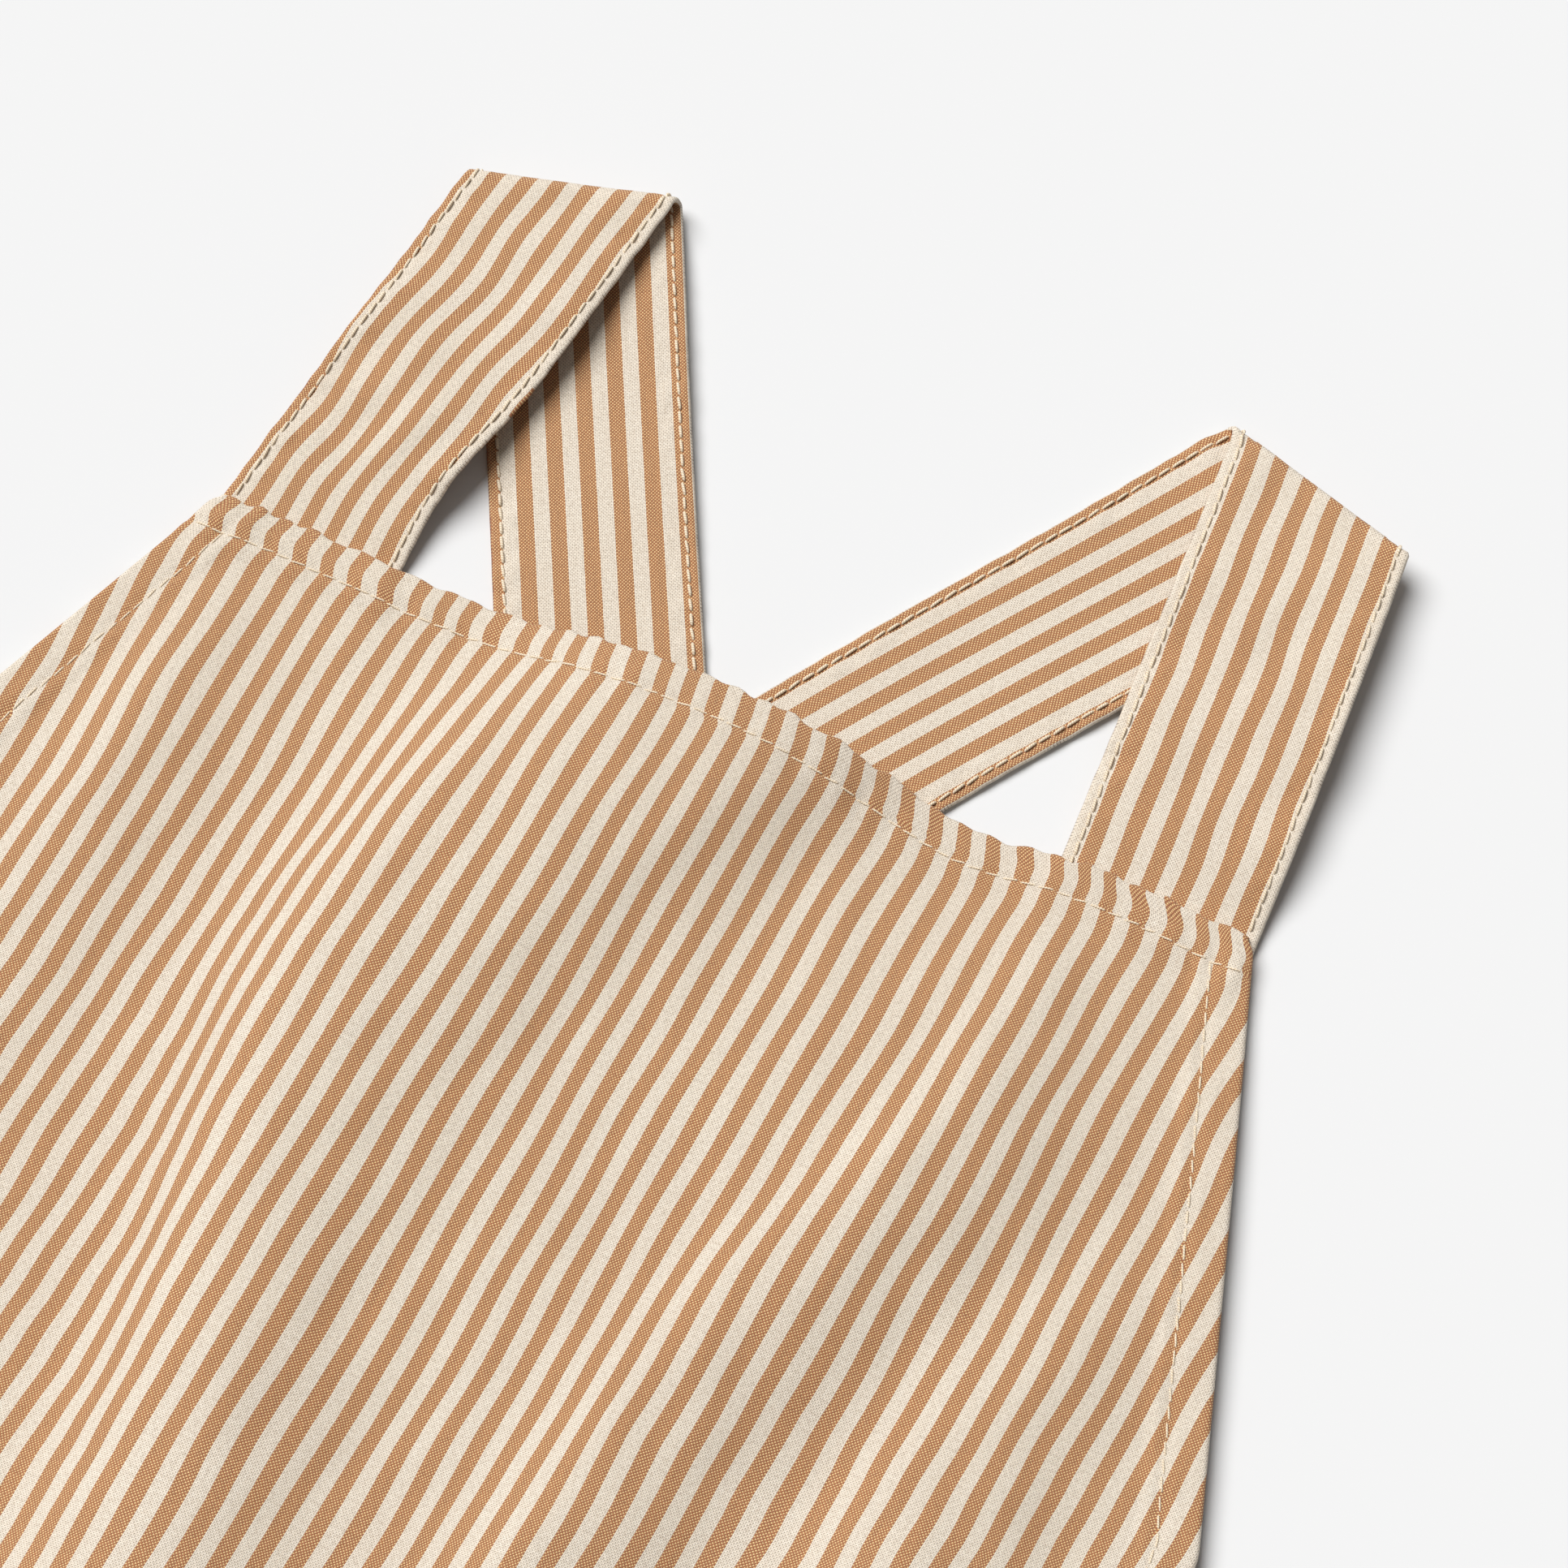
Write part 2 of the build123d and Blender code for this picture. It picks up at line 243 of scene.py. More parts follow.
def stitch_row(
    surface, start_to_end, length=STITCH_LENGTH, side=1.0, radius=THREAD_RADIUS, lift=0.0, seed=1
):
    """A row of separate stitches along a line on a surface. surface(t) gives points and normals for t from
    0 to 1, and start_to_end is about the line's length. Returns points, faces and thread coordinates."""
    rng = np.random.default_rng(seed)
    count = max(1, int(round(start_to_end / length)))
    rings, spokes = 9, 6
    t_mid = (np.arange(count) + 0.5) / count
    reach = 0.46 / count * rng.uniform(0.93, 1.04, count)
    run = np.linspace(-1, 1, rings)
    t = t_mid[:, None] + reach[:, None] * run[None, :]
    points, normals = surface(np.clip(t, 0, 1))
    normals = normals * side
    along = unit(np.gradient(points, axis=1))
    across = unit(np.cross(normals, along))
    slant = rng.uniform(-0.06, 0.06, (count, 1, 1)) + 0.07
    arch = (1 - np.abs(run) ** 6)[None, :, None]
    height = lift + radius * 0.6 * arch - 0.2 * (1 - arch) + rng.uniform(-0.03, 0.03, (count, 1, 1))
    line = points + normals * height + across * slant * run[None, :, None] * length / 2
    size = radius * rng.uniform(0.92, 1.08, (count, 1)) * (1 - 0.45 * np.abs(run) ** 5)[None, :]
    angle = np.arange(spokes) * 2 * math.pi / spokes
    tube = (
        line[:, :, None, :]
        + size[:, :, None, None] * (
            np.cos(angle)[None, None, :, None] * across[:, :, None, :]
            + np.sin(angle)[None, None, :, None] * normals[:, :, None, :]
        )
    )
    i = np.arange(rings - 1)[:, None] * spokes + np.arange(spokes)[None, :]
    j = np.arange(rings - 1)[:, None] * spokes + (np.arange(spokes)[None, :] + 1) % spokes
    shell = np.stack([i, j, j + spokes, i + spokes], axis=-1).reshape(-1, 4)
    caps = []
    for base, order in ((0, (0, 3, 2, 1)), (0, (0, 5, 4, 3)), ((rings - 1) * spokes, (0, 1, 2, 3)),
                        ((rings - 1) * spokes, (0, 3, 4, 5))):
        caps.append([base + k for k in order])
    one = np.concatenate([shell, np.array(caps)])
    per = rings * spokes
    faces = (one[None] + (np.arange(count) * per)[:, None, None]).reshape(-1, 4)
    ring_of = (np.arange(per) // spokes) / (rings - 1) * length
    spoke_of = (np.arange(per) % spokes) / spokes
    thread_uv = np.stack([np.tile(ring_of, count), np.tile(spoke_of, count)], axis=-1)
    return tube.reshape(-1, 3), faces, thread_uv


def join_rows(rows):
    """Several results of stitch_row as one."""
    points, faces, uvs, base = [], [], [], 0
    for p, f, uv in rows:
        points.append(p)
        faces.append(f + base)
        uvs.append(uv)
        base += len(p)
    return np.concatenate(points), np.concatenate(faces), np.concatenate(uvs)


def stitches(name, rows, material):
    """A piece made of rows of stitches."""
    points, faces, uv = join_rows(rows)
    return make_object(name, points, faces, material, uv[faces].reshape(-1, 2))


# =====================================================================================
# materials
# =====================================================================================

def srgb(r, g, b):
    """An sRGB colour as the shader wants it."""
    def channel(c):
        c = c / 255
        return c / 12.92 if c <= 0.04045 else ((c + 0.055) / 1.055) ** 2.4
    return channel(r), channel(g), channel(b), 1.0


class Nodes:
    """Short calls for building a material's node tree."""

    def __init__(self, name):
        self.material = bpy.data.materials.new(name)
        self.material.use_nodes = True
        self.tree = self.material.node_tree
        self.tree.nodes.clear()
        self.out = self.tree.nodes.new("ShaderNodeOutputMaterial")
        self.shader = self.tree.nodes.new("ShaderNodeBsdfPrincipled")
        self.link(self.shader.outputs["BSDF"], self.out.inputs["Surface"])

    def link(self, source, target):
        self.tree.links.new(source, target)

    def feed(self, socket, value):
        if isinstance(value, bpy.types.NodeSocket):
            self.link(value, socket)
        else:
            socket.default_value = value

    def math(self, operation, a, b=None, c=None):
        node = self.tree.nodes.new("ShaderNodeMath")
        node.operation = operation
        for socket, value in zip(node.inputs, (a, b, c)):
            if value is not None:
                self.feed(socket, value)
        return node.outputs[0]

    def mix(self, factor, a, b, blend="MIX"):
        node = self.tree.nodes.new("ShaderNodeMix")
        node.data_type = "RGBA"
        node.blend_type = blend
        self.feed(node.inputs["Factor"], factor)
        self.feed(node.inputs["A"], a)
        self.feed(node.inputs["B"], b)
        return node.outputs["Result"]

    def join(self, x, y, z=0.0):
        node = self.tree.nodes.new("ShaderNodeCombineXYZ")
        for socket, value in zip(node.inputs, (x, y, z)):
            self.feed(socket, value)
        return node.outputs[0]

    def noise(self, vector, scale, detail=2.0, rough=0.5):
        node = self.tree.nodes.new("ShaderNodeTexNoise")
        self.link(vector, node.inputs["Vector"])
        node.inputs["Scale"].default_value = scale
        node.inputs["Detail"].default_value = detail
        node.inputs["Roughness"].default_value = rough
        return node.outputs["Fac"]

    def flat_cut(self):
        node = self.tree.nodes.new("ShaderNodeUVMap")
        node.uv_map = "flat_cut"
        split = self.tree.nodes.new("ShaderNodeSeparateXYZ")
        self.link(node.outputs[0], split.inputs[0])
        return split.outputs[0], split.outputs[1]


YARN = PITCH / 18            # spacing of the yarns


def striped_cotton():
    """Yarn-dyed plain weave: brown and cream warp stripes, crossed by a pale weft."""
    n = Nodes("striped_cotton")
    across, along = n.flat_cut()
    flat = n.join(across, along)
    wander = n.math("MULTIPLY_ADD", n.noise(flat, 0.35, 3.0), 0.5, -0.25)
    warp_x = n.math("DIVIDE", n.math("MULTIPLY_ADD", wander, 0.35, across), YARN)
    weft_y = n.math("DIVIDE", n.math("MULTIPLY_ADD", wander, 0.5, along), YARN * 1.06)
    warp_index = n.math("FLOOR", warp_x)
    weft_index = n.math("FLOOR", weft_y)

    # which yarn is on top, and how high each stands
    parity = n.math("FLOORED_MODULO", n.math("ADD", warp_index, weft_index), 2.0)
    in_warp = n.math("SUBTRACT", n.math("FRACT", warp_x), 0.5)
    in_weft = n.math("SUBTRACT", n.math("FRACT", weft_y), 0.5)
    warp_off = n.math("ABSOLUTE", n.math("MULTIPLY", in_warp, 2.0))
    weft_off = n.math("ABSOLUTE", n.math("MULTIPLY", in_weft, 2.0))
    warp_round = n.math("SUBTRACT", 1.0, n.math("POWER", warp_off, 2.0))
    weft_round = n.math("SUBTRACT", 1.0, n.math("POWER", weft_off, 2.0))
    warp_on_top = n.math("SUBTRACT", 1.0, parity)

    # the dyed stripe: nine brown warp ends, then nine cream
    in_stripe = n.math("FRACT", n.math("DIVIDE", n.math("ADD", warp_index, 0.5), 18.0))
    brown = n.math("LESS_THAN", in_stripe, 0.5)

    # each yarn has its own tone, with slubs along it
    on_warp = n.join(n.math("MULTIPLY", warp_index, 7.31), n.math("MULTIPLY", along, 0.045))
    on_weft = n.join(n.math("MULTIPLY", across, 0.045), n.math("MULTIPLY", weft_index, 5.17))
    warp_tone = n.noise(on_warp, 1.0, 3.0, 0.6)
    weft_tone = n.noise(on_weft, 1.0, 3.0, 0.6)
    brown_yarn = n.mix(warp_tone, srgb(136, 73, 34), srgb(198, 122, 70))
    cream_yarn = n.mix(warp_tone, srgb(237, 221, 200), srgb(255, 248, 235))
    weft_yarn = n.mix(weft_tone, srgb(240, 223, 197), srgb(255, 248, 233))
    warp_color = n.mix(brown, cream_yarn, brown_yarn)
    # the weft shows as a small float between the brown ends, and as half of the cream ones
    weft_shown = n.math("MULTIPLY", parity, n.math("MULTIPLY", warp_round, weft_round))
    weft_mask = n.math("SMOOTH_MIN", n.math("MULTIPLY", weft_shown, 1.5), 1.0, 0.1)
    color = n.mix(weft_mask, warp_color, n.mix(brown, weft_yarn, srgb(250, 214, 152)))

    # painted shade: dark pinholes where four yarns meet, the shade in the gaps between the yarns painted
    # into the colour
    corner = n.math("MULTIPLY", warp_off, weft_off)
    gap_across = n.math("FLOOR", n.math("ADD", warp_x, 0.5))
    gap_along = n.math("FLOOR", n.math("ADD", weft_y, 0.5))
    gap_count = n.math("ADD", gap_across, gap_along)
    every_other = n.math("SUBTRACT", 1.15, n.math("FLOORED_MODULO", gap_count, 2.0))
    on_hole = n.join(n.math("MULTIPLY", warp_index, 0.31), n.math("MULTIPLY", weft_index, 0.27))
    hole_noise = n.noise(on_hole, 1.0, 2.0)
    pinhole_shade = n.math("MULTIPLY", n.math("POWER", corner, 1.3), n.math("MULTIPLY_ADD", hole_noise, 1.3, 0.35))
    pinhole_shade = n.math("MINIMUM", n.math("MULTIPLY", pinhole_shade, every_other), 0.8)
    # painted shade: the pinholes are mixed towards dark grey-brown in the cream stripes and deep brown in
    # the brown ones
    color = n.mix(pinhole_shade, color, n.mix(brown, srgb(100, 80, 60), srgb(110, 62, 30)))

    # uneven dye and fuzz, a few yarns across
    grain = n.noise(flat, 1.4, 3.0, 0.7)
    worn = n.math("MULTIPLY", n.math("MAXIMUM", n.math("SUBTRACT", grain, 0.42), 0.0), 1.3)
    color = n.mix(worn, color, n.mix(brown, srgb(150, 126, 100), srgb(122, 66, 30)))
    color = n.mix(n.math("MULTIPLY", n.noise(flat, 2.3, 2.0, 0.7), 0.12), color, srgb(255, 244, 226))
    # soft tone changes over the whole cloth
    cloudy = n.noise(flat, 0.02, 3.0)
    color = n.mix(n.math("MULTIPLY", cloudy, 0.16), color, srgb(150, 110, 76), "MULTIPLY")
    n.link(color, n.shader.inputs["Base Color"])
    n.shader.inputs["Roughness"].default_value = 0.88
    n.shader.inputs["Specular IOR Level"].default_value = 0.22
    n.shader.inputs["Sheen Weight"].default_value = 0.12
    n.shader.inputs["Sheen Roughness"].default_value = 0.5

    warp_height = n.math("MULTIPLY", warp_round, n.math("MULTIPLY_ADD", warp_on_top, 0.6, 0.4))
    weft_height = n.math("MULTIPLY", weft_round, n.math("MULTIPLY_ADD", parity, 0.6, 0.4))
    weave = n.math("MAXIMUM", warp_height, weft_height)
    fibre = n.noise(flat, 2.2, 3.0, 0.7)
    height = n.math("MULTIPLY_ADD", fibre, 0.35, weave)
    bump = n.tree.nodes.new("ShaderNodeBump")
    bump.inputs["Strength"].default_value = 0.8
    bump.inputs["Distance"].default_value = 0.00012
    n.link(height, bump.inputs["Height"])
    n.link(bump.outputs[0], n.shader.inputs["Normal"])
    return n.material


def cream_thread():
    """Two-ply sewing thread: a slanted twist, matte, with painted shade in the grooves between its plies.
    """
    n = Nodes("cream_thread")
    along, around = n.flat_cut()
    twist = n.math("FRACT", n.math("ADD", n.math("MULTIPLY", along, 1.7), around))
    ridge = n.math("SINE", n.math("MULTIPLY", twist, math.pi))
    tone = n.noise(n.join(along, around), 3.0, 2.0)
    pale = n.mix(tone, srgb(236, 218, 190), srgb(254, 242, 222))
    # painted shade: the grooves between the twist's plies get a darker tan than its ridges
    n.link(n.mix(ridge, srgb(204, 178, 142), pale), n.shader.inputs["Base Color"])
    n.shader.inputs["Roughness"].default_value = 0.7
    n.shader.inputs["Specular IOR Level"].default_value = 0.3
    n.shader.inputs["Sheen Weight"].default_value = 0.1
    bump = n.tree.nodes.new("ShaderNodeBump")
    bump.inputs["Strength"].default_value = 0.6
    bump.inputs["Distance"].default_value = 0.0001
    n.link(ridge, bump.inputs["Height"])
    n.link(bump.outputs[0], n.shader.inputs["Normal"])
    return n.material


COTTON = striped_cotton()
THREAD = cream_thread()


# =====================================================================================
# the front's outline and relief
# =====================================================================================

def arc_through(a, b, c, count):
    """Points of the arc through three points."""
    (ax, ay), (bx, by), (cx, cy) = a, b, c
    d = 2 * (ax * (by - cy) + bx * (cy - ay) + cx * (ay - by))
    x = ((ax**2 + ay**2) * (by - cy) + (bx**2 + by**2) * (cy - ay) + (cx**2 + cy**2) * (ay - by)) / d
    y = ((ax**2 + ay**2) * (cx - bx) + (bx**2 + by**2) * (ax - cx) + (cx**2 + cy**2) * (bx - ax)) / d
    radius = math.hypot(ax - x, ay - y)
    angles = np.unwrap([math.atan2(p[1] - y, p[0] - x) for p in (a, b, c)])
    angle = np.linspace(angles[0], angles[2], count)
    return x + radius * np.cos(angle), y + radius * np.sin(angle)


CHORD = np.array(UNDERARM) - np.array(ARMHOLE_END)
BOW = np.array([CHORD[1], -CHORD[0]]) / np.hypot(*CHORD) * UNDERARM_RISE
ARC_MIDDLE = (np.array(UNDERARM) + np.array(ARMHOLE_END)) / 2 + BOW
ARC_U, ARC_V = arc_through(ARMHOLE_END, tuple(ARC_MIDDLE), UNDERARM, 13)
EDGE_U = np.concatenate([[BIB_HALF], ARC_U, [SIDE_FOOT[0]]])
EDGE_V = np.concatenate([[0.0], ARC_V, [SIDE_FOOT[1]]])


def half_width(v):
    """Half of the front's width at a height."""
    return np.interp(-np.asarray(v, float), -EDGE_V, EDGE_U)


def edge_lean(v):
    """Cosine of the front edge's lean, to turn a sideways distance into one from the edge."""
    slope = (half_width(v - 1.0) - half_width(v + 1.0)) / 2
    return 1 / np.sqrt(1 + slope**2)


# Each fold of the front is a step that follows a path down the cloth. A row is
# (v, u, rise, width): the step's place, how much it lifts what lies to its right, and over what width.
FOLDS = {
    "left_roll": [(0, -108, 0.8, 12), (-45, -108, 4.4, 14), (-90, -112, 4.0, 16), (-150, -130, 1.6, 24)],
    "left_hollow": [(0, -90, -0.6, 20), (-45, -86, -3.2, 20), (-90, -82, -3.0, 20), (-150, -90, -1.4, 28)],
    "crest_flank": [
        (0, -34, 9.6, 26), (-30, -47, 13.0, 24), (-58, -54, 14.0, 18.5), (-90, -56, 14.2, 18),
        (-125, -49, 13.6, 18.5), (-185, -35, 12.0, 20), (-300, -40, 6.0, 34), (-512, -60, 3.0, 50),
    ],
    "crest_fall": [
        (0, 31, -9.6, 27), (-30, 16, -9.4, 28), (-58, 2, -7.6, 32), (-90, -12, -6.8, 32),
        (-125, -12, -7.0, 28), (-185, 0, -6.6, 26), (-300, 10, -3.6, 40), (-512, 20, -2.0, 60),
    ],
    "second_rise": [
        (0, 70, 0.8, 10), (-30, 72, 2.2, 12), (-58, 70, 3.8, 14), (-90, 58, 4.2, 14),
        (-125, 44, 4.6, 15), (-160, 41, 5.2, 15), (-200, 30, 5.0, 18), (-300, 50, 2.4, 40),
        (-512, 60, 2.0, 60),
    ],
    "second_fall": [
        (0, 96, -0.9, 14), (-30, 90, -5.4, 28), (-58, 94, -9.0, 34), (-90, 86, -9.6, 34),
        (-120, 75, -9.2, 32), (-150, 66, -9.0, 30), (-200, 60, -7.4, 26), (-300, 110, -2.8, 40),
        (-512, 120, -2.0, 60),
    ],
    "third_rise": [
        (-60, 112, 0.3, 16), (-100, 100, 3.2, 15), (-140, 92, 4.6, 15), (-200, 90, 3.6, 20),
        (-320, 140, 1.4, 40),
    ],
    "third_fall": [
        (-60, 128, -0.6, 16), (-100, 122, -3.8, 16), (-140, 122, -5.0, 18), (-200, 134, -3.4, 30),
        (-320, 180, -1.0, 40),
    ],
}
BASE = [(0, 2.3), (-110, 2.2), (-165, 3.6), (-512, 3.7)]


def edge_distance(u, v):
    """Distance in from the front's side edges."""
    return (half_width(v) - np.abs(u)) * edge_lean(v)


def relief(u, v):
    """Height of the front's cloth over the floor, without its hems."""
    z = curve_through(v, BASE)
    for stations in FOLDS.values():
        table = np.array(stations, float)
        place = curve_through(v, table[:, (0, 1)])
        lift = curve_through(v, table[:, (0, 2)])
        width = curve_through(v, table[:, (0, 3)])
        z = z + lift * 0.5 * (1 + np.tanh(2 * (u - place) / width))
    inside = ease(edge_distance(u, v) / 30) * ease(-v / 24)
    z = z + inside * (0.2 * ripples(u, v, 34, 11, 2.6) + 0.09 * ripples(u, v, 13, 12, 2.2))
    z = z + inside * 0.08 * ripples(u, v, 22, 14, 0.5) * bell((v + 150) / 90)
    return np.maximum(z, 2.2)


def front_height(u, v):
    """Height of the front's cloth over the floor: its relief, hems, strap roots and seams."""
    z = relief(u, v)
    top = -v
    side = edge_distance(u, v)
    foot = v + foot_line(u)
    armhole = ease((v - UNDERARM[1]) / 14)
    # turned layers under the hems
    z = z + 0.6 * (1 - ease((top - HEM_DEPTH + 2.5) / 4.5))
    z = z + 0.6 * (1 - ease((side - HEM_DEPTH + 1.5) / 3.0)) * armhole
    z = z + 0.7 * (1 - ease((foot - BOTTOM_DEPTH + 1.5) / 2.5))
    # the straps' ends, sewn under the top hem
    over_strap = ease((np.abs(u) - 69.5) / 3) * (1 - ease((np.abs(u) - 110.5) / 3))
    z = z + 0.75 * over_strap * (1 - ease((top - 7.0) / 9.0))
    # seams pull the cloth down, and pucker it
    pucker = 0.16 * ripples(u, v * 0.3, 7.5, 21) + 0.1 * np.cos(2 * math.pi * u / STITCH_LENGTH)
    z = z - 0.42 * bell((top - HEM_STITCH) / 1.1)
    z = z + pucker * bell((top - HEM_STITCH) / 4.0)
    side_pucker = 0.2 * ripples(v, u * 0.3, 9.0, 22)
    z = z - 0.36 * bell((side - HEM_STITCH) / 1.2) * armhole
    z = z + side_pucker * bell((side - HEM_STITCH) / 4.5) * armhole
    z = z - 0.36 * bell((foot - BOTTOM_STITCH) / 1.2)
    z = z + 0.2 * ripples(u, v * 0.3, 9.0, 23) * bell((foot - BOTTOM_STITCH) / 4.5)
    return z


def foot_line(u):
    """How far down the bottom hem's edge is, at each place across."""
    return -SIDE_FOOT[1] + HEM_DROP * (1 - (u / SIDE_FOOT[0]) ** 2)


def spread(*runs):
    """Numbers from run to run: each run is (start, end, step)."""
    values = []
    for start, end, step in runs:
        count = max(1, int(round(abs(end - start) / step)))
        values.append(np.linspace(start, end, count, endpoint=False))
    values.append([runs[-1][1]])
    return np.concatenate(values)


def turn_under(beyond, radius):
    """Where the cloth is after going a distance beyond the start of a fold: (outward, down)."""
    angle = np.clip(beyond / radius, 0, math.pi)
    back = np.maximum(beyond - math.pi * radius, 0)
    return radius * np.sin(angle) - back, radius * (1 - np.cos(angle))


def front_panel():
    """The bib and skirt front: one sheet of cloth, turned under at its hems and armholes."""
    under = 1.2                                       # what is modelled of the turned part
    turn = np.linspace(0, math.pi * FOLD_RADIUS, 8)[1:]
    tail = np.array([math.pi * FOLD_RADIUS + under])
    # rows: 0 at the foot, 1 at the top
    depth = spread(
        (0, 12.8, 0.8), (12.8, 125, 1.65), (125, 216, 2.3), (216, 490, 4.4), (490, 512 - FOLD_RADIUS, 1.6),
    )
    rows = [(FOLD_RADIUS + d, 0.0, 0.0) for d in depth]
    beyond = np.concatenate([turn, tail])
    over_top = [(FOLD_RADIUS, *turn_under(b, FOLD_RADIUS)) for b in beyond[::-1]]
    under_foot = [(depth[-1] + FOLD_RADIUS, *turn_under(b, FOLD_RADIUS)) for b in beyond]
    at_top = np.array(over_top + rows + under_foot)
    top_rows, foot_rows = len(over_top), len(under_foot)
    # columns: from the left edge to the right one
    near = spread((0, 13, 1.0))
    share = np.linspace(-1, 1, 163)
    v0 = -at_top[:, 0]
    v0[:top_rows] = -FOLD_RADIUS
    foot_share = ease((at_top[:, 0] - 216) / (512 - 216))
    half = half_width(v0) - FOLD_RADIUS * 1.2
    half = half - 1.6 * bell((-v0) / 1.5)
    wide = np.maximum(half - 13.0, 10.0)
    core = share[None, :] * wide[:, None]
    right_edge = half[:, None] - (13.0 - near[1:])[None, :]
    right = np.concatenate([right_edge, np.repeat(half[:, None], len(beyond), 1)], axis=1)
    out, down = turn_under(beyond, FOLD_RADIUS)
    side_shift = np.concatenate([np.zeros(len(near) - 1), out])
    side_down = np.concatenate([np.zeros(len(near) - 1), down])
    u_line = np.concatenate([-right[:, ::-1], core, right], axis=1)
    shift = np.concatenate([-side_shift[::-1], np.zeros(len(share)), side_shift])[None, :]
    drop = np.concatenate([side_down[::-1], np.zeros(len(share)), side_down])[None, :]
    # the foot curves down towards its middle
    v_line = v0[:, None] - HEM_DROP * (1 - (u_line / SIDE_FOOT[0]) ** 2) * foot_share[:, None]
    z = front_height(u_line, v_line)
    row_out = np.zeros(len(at_top))
    row_down = np.zeros(len(at_top))
    row_out[:top_rows] = at_top[:top_rows, 1]
    row_down[:top_rows] = at_top[:top_rows, 2]
    row_out[-foot_rows:] = -at_top[-foot_rows:, 1]
    row_down[-foot_rows:] = at_top[-foot_rows:, 2]
    v_seen = v_line + row_out[:, None] + top_edge_shift(u_line, v_line)
    points = stack(u_line + shift, v_seen, z - row_down[:, None] - drop)
    cut = flat_cut_of(points, u_line.shape[1] // 2)
    return cloth("front_panel", points, cut, CLOTH, COTTON)


def top_edge_shift(u, v):
    """The bib's top edge isn't quite straight: it slips down where the cloth sinks beside the crest."""
    drift = 1.0 * bell(u / 22) - 2.4 * bell((u - 54) / 15) - 0.5 * bell((np.abs(u) - 108) / 8)
    pucker = 0.28 * ripples(u, 0, 7.0, 35) * ease((v + HEM_STITCH) / HEM_STITCH)
    return drift * ease((v + 60) / 60) + pucker


STRIPE_PHASE = 0.6           # of the stripes at the bib's middle
HEM_SHEAR = 1.2              # how far the top hem's edge was dragged to the left as it was sewn


def slip(u, v):
    """How far the stripes drift sideways down the cloth, which lies a little askew."""
    down = np.clip(-v, 0, 220)
    return 0.018 * down + 0.00024 * down * np.maximum(u, 0)


def flat_cut_of(points, centre):
    """Each point's place in the flat cut: lengths along the cloth, from its middle column."""
    step = np.linalg.norm(np.diff(points, axis=1), axis=-1)
    across = np.concatenate([np.zeros((len(points), 1)), np.cumsum(step, axis=1)], axis=1)
    across = across - across[:, centre:centre + 1]
    column = points[:, centre]
    length = np.concatenate([[0.0], np.cumsum(np.linalg.norm(np.diff(column, axis=0), axis=-1))])
    u, v = points[..., 0], points[..., 1]
    sway = 0.45 * ripples(u, v, 85, 31, 1.5) + 0.16 * ripples(u, v, 26, 32)
    in_hem = ease((v + HEM_STITCH + 0.5) / 1.0)
    sway = sway + HEM_SHEAR * np.clip(1 + v / HEM_STITCH, 0, 1)
    sway = sway + in_hem * 0.4 * ripples(u, v * 0.1, 26, 33)
    in_side = 1 - ease((edge_distance(u, v) - HEM_STITCH + 0.6) / 1.2)
    sway = sway + in_side * ease((v - UNDERARM[1]) / 14) * 0.35 * ripples(v, u * 0.1, 24, 34)
    return stack(across * 1.027 + sway + slip(u, v) + STRIPE_PHASE, -length[:, None] + 0 * across)


def surface_line(height, line):
    """A function of t for stitch_row: points and normals of a height field along a line of (u, v)."""
    def evaluate(t):
        u, v = line(t)
        e = 0.4
        z = height(u, v)
        du = (height(u + e, v) - height(u - e, v)) / (2 * e)
        dv = (height(u, v + e) - height(u, v - e)) / (2 * e)
        return stack(u, v + top_edge_shift(u, v), z), unit(stack(-du, -dv, np.ones_like(z)))
    return evaluate


def front_stitches():
    """Topstitching of the bib's top hem, the armholes and the bottom hem."""
    lift = CLOTH / 2
    half_top = BIB_HALF + HEM_STITCH * 0.34 - 2.0
    top = stitch_row(
        surface_line(front_height, lambda t: (-half_top + 2 * half_top * t, np.full_like(t, -HEM_STITCH))),
        2 * half_top, lift=lift, seed=41,
    )
    made = {"top_hem_stitching": stitches("top_hem_stitching", [top], THREAD)}
    for name, way in (("left", -1), ("right", 1)):
        low, high = UNDERARM[1] + 6, -HEM_STITCH

        def line(t, way=way, low=low, high=high):
            v = high + (low - high) * t
            return way * (half_width(v) - HEM_STITCH / edge_lean(v)), v
        length = (high - low) / 0.93
        row = stitch_row(surface_line(front_height, line), length, lift=lift, seed=42 + way)
        key = name + "_armhole_stitching"
        made[key] = stitches(key, [row], THREAD)

    def foot(t):
        u = (2 * t - 1) * (SIDE_FOOT[0] - 6)
        return u, -foot_line(u) + BOTTOM_STITCH
    row = stitch_row(surface_line(front_height, foot), 2 * SIDE_FOOT[0], lift=lift, seed=45)
    made["bottom_hem_stitching"] = stitches("bottom_hem_stitching", [row], THREAD)
    return made


